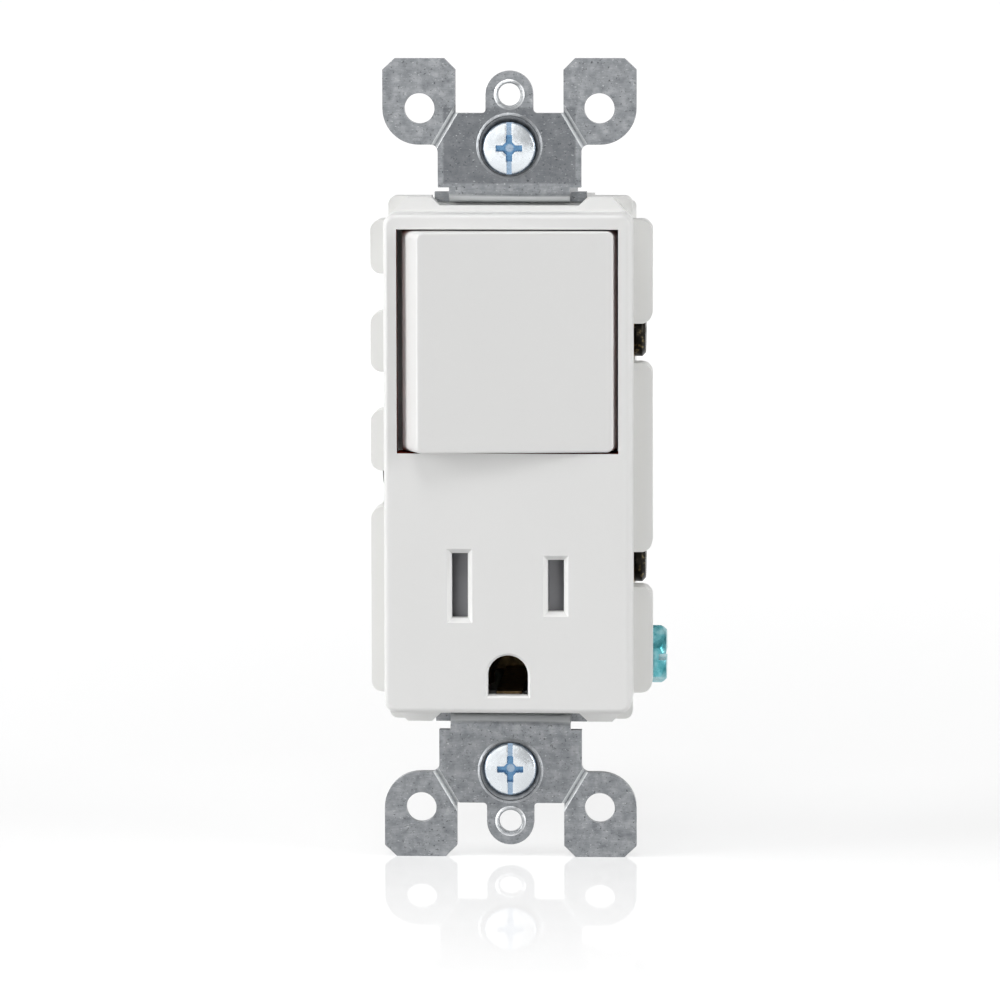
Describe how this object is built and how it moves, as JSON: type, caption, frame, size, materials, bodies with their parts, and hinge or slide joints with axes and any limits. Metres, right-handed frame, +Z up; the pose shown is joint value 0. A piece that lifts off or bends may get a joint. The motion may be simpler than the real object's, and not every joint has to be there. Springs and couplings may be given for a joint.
{
  "type": "switch and socket combination",
  "caption": "White wall device with a rocker switch above a shuttered three-pin socket, on a bent steel strap with break-off ears.",
  "frame": {"origin": "centre of the strap's mounting plane, on the back of its ears, midway between the two mounting screws", "axes": "+X to the right seen from the front, +Y into the wall box, +Z up; the face looks along -Y"},
  "size_m": [0.0392, 0.0368, 0.1064],
  "materials": {
    "white_plastic": "satin",
    "housing_plastic": "satin",
    "grey_plastic": "satin",
    "guide_plastic": "matte",
    "galvanized_steel": "satin",
    "zinc_screw": "polished",
    "dark_screw": "satin",
    "green_screw": "satin",
    "brass": "satin",
    "silver": "satin",
    "spring_steel": "satin",
    "fibre": "matte"
  },
  "bodies": {
    "base": {"front_cover": "white_plastic", "rear_housing": "housing_plastic", "strap": "galvanized_steel", "screw_washer_top": "fibre", "screw_washer_low": "fibre", "live_plate": "brass", "neutral_plate": "brass", "load_plate": "brass", "earth_contact": "brass", "fixed_contact": "silver", "plunger_spring": "spring_steel", "shutter_spring_neutral": "spring_steel", "shutter_spring_live": "spring_steel", "shutter_guide": "guide_plastic", "insulating_sheet": "fibre", "earth_rivet": "galvanized_steel", "strap_rivet": "galvanized_steel", "assembly_screws": "zinc_screw"},
    "rocker": {"rocker": "white_plastic"},
    "plunger": {"plunger": "grey_plastic"},
    "seesaw": {"seesaw": "brass", "seesaw_contact": "silver"},
    "shutter_neutral": {"shutter_neutral": "grey_plastic"},
    "shutter_live": {"shutter_live": "grey_plastic"},
    "mounting_screw_top": {"mounting_screw_top": "zinc_screw"},
    "mounting_screw_low": {"mounting_screw_low": "zinc_screw"},
    "terminal_live_top": {"terminal_screw_live_top": "dark_screw", "clamp_live_top": "brass"},
    "terminal_live_low": {"terminal_screw_live_low": "dark_screw", "clamp_live_low": "brass"},
    "terminal_load": {"terminal_screw_load": "dark_screw", "clamp_load": "brass"},
    "terminal_neutral": {"terminal_screw_neutral": "zinc_screw", "clamp_neutral": "zinc_screw"},
    "earth_screw": {"earth_screw": "green_screw"}
  },
  "joints": [
    {"name": "rocker_tilt", "type": "hinge", "parent": "base", "child": "rocker", "pos_m": [0, 0.0003, 0.0162], "axis": [0, 0, 1], "range_deg": [-13, 0]},
    {"name": "seesaw_tilt", "type": "hinge", "parent": "base", "child": "seesaw", "pos_m": [0, 0.01255, 0.0162], "axis": [0, 0, 1], "range_deg": [0, 14.01]},
    {"name": "plunger_press", "type": "slide", "parent": "rocker", "child": "plunger", "axis": [0.1132, -0.9936, 0], "range_m": [0, 0.0005], "stiffness_N_per_m": 400, "springref_m": -0.002, "deforming": ["plunger_spring"]},
    {"name": "shutter_neutral_slide", "type": "slide", "parent": "base", "child": "shutter_neutral", "axis": [1, 0, 0], "range_m": [0, 0.0032], "stiffness_N_per_m": 150, "springref_m": -0.002, "deforming": ["shutter_spring_neutral"]},
    {"name": "shutter_live_slide", "type": "slide", "parent": "base", "child": "shutter_live", "axis": [-1, 0, 0], "range_m": [0, 0.0032], "stiffness_N_per_m": 150, "springref_m": -0.002, "deforming": ["shutter_spring_live"]},
    {"name": "mounting_screw_top_turn", "type": "hinge", "parent": "base", "child": "mounting_screw_top", "pos_m": [0, 0.005, 0.04135], "axis": [0, 1, 0], "continuous": true},
    {"name": "mounting_screw_low_turn", "type": "hinge", "parent": "base", "child": "mounting_screw_low", "pos_m": [0, 0.005, -0.04135], "axis": [0, 1, 0], "continuous": true},
    {"name": "earth_screw_travel", "type": "slide", "parent": "base", "child": "earth_screw", "axis": [1, 0, 0], "range_m": [0, 0.003]},
    {"name": "terminal_live_top_travel", "type": "slide", "parent": "base", "child": "terminal_live_top", "axis": [-1, 0, 0], "range_m": [0, 0.00135]},
    {"name": "terminal_live_low_travel", "type": "slide", "parent": "base", "child": "terminal_live_low", "axis": [-1, 0, 0], "range_m": [0, 0.00135]},
    {"name": "terminal_load_travel", "type": "slide", "parent": "base", "child": "terminal_load", "axis": [1, 0, 0], "range_m": [0, 0.00135]},
    {"name": "terminal_neutral_travel", "type": "slide", "parent": "base", "child": "terminal_neutral", "axis": [1, 0, 0], "range_m": [0, 0.00135]}
  ],
  "couplings": [
    {"joint": "seesaw_tilt", "follows": "rocker_tilt", "ratio": -1.0769}
  ]
}
